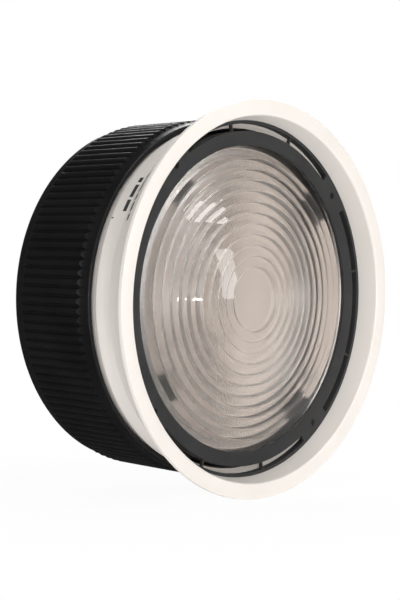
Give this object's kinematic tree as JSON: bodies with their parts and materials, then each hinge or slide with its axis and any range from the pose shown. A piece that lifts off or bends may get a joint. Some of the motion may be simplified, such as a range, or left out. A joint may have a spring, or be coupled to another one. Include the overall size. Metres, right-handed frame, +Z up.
{
  "type": "fresnel lens attachment",
  "caption": "Zoom Fresnel lens attachment for a studio light: ribbed turning ring, sliding white front barrel, stepped glass lens and rear bayonet.",
  "frame": {"origin": "on the optical axis, in the rear face of the bayonet flange, where the lamp's mount seats", "axes": "optical axis along Y with the lens facing -Y and the bayonet towards +Y; +Z up, +X to the right as seen from the front"},
  "size_m": [0.24, 0.133, 0.24],
  "materials": {
    "bayonet_metal": "satin",
    "black_steel": "black oxide",
    "black_moulding": "fine matt moulding grain",
    "charcoal_moulding": "satin moulding",
    "cream_paint": "matt paint",
    "dark_anodised": "satin anodised",
    "slip_plastic": "smooth",
    "black_felt": "felt",
    "white_paint": "semi-gloss warm white paint",
    "black_ink": "matt paint fill",
    "steel": "ground",
    "nylon": "natural",
    "lens_glass": "clear, stippled back",
    "silicone": "matt black"
  },
  "bodies": {
    "mount_body": {"bayonet_mount": "bayonet_metal", "bayonet_screws": "black_steel", "rear_cover": "black_moulding", "cover_screws": "black_steel", "guide_tube": "cream_paint", "tube_collar": "dark_anodised", "collar_screws": "black_steel", "light_cone": "cream_paint", "rear_glide_washer": "slip_plastic", "front_glide_washer": "slip_plastic"},
    "zoom_ring": {"grip_ring": "black_moulding", "felt_seal": "black_felt", "cam_sleeve": "dark_anodised", "cam_screws": "black_steel", "glide_bands": "slip_plastic"},
    "front_barrel": {"front_bell": "white_paint", "index_mark": "black_ink", "follower_pins": "steel", "follower_bushes": "nylon", "fresnel_lens": "lens_glass", "lens_gasket": "silicone", "lens_pads": "silicone", "lens_retainer": "charcoal_moulding", "retainer_screws": "black_steel", "lens_clamps": "black_moulding"}
  },
  "joints": [
    {"name": "zoom_turn", "type": "hinge", "parent": "mount_body", "child": "zoom_ring", "pos_m": [0, -0.05, 0], "axis": [0, 1, 0], "range_deg": [0, 100]},
    {"name": "barrel_slide", "type": "slide", "parent": "mount_body", "child": "front_barrel", "axis": [0, -1, 0], "range_m": [0, 0.032]}
  ],
  "couplings": [
    {"joint": "barrel_slide", "follows": "zoom_turn", "m_per_rad": 0.018334}
  ]
}
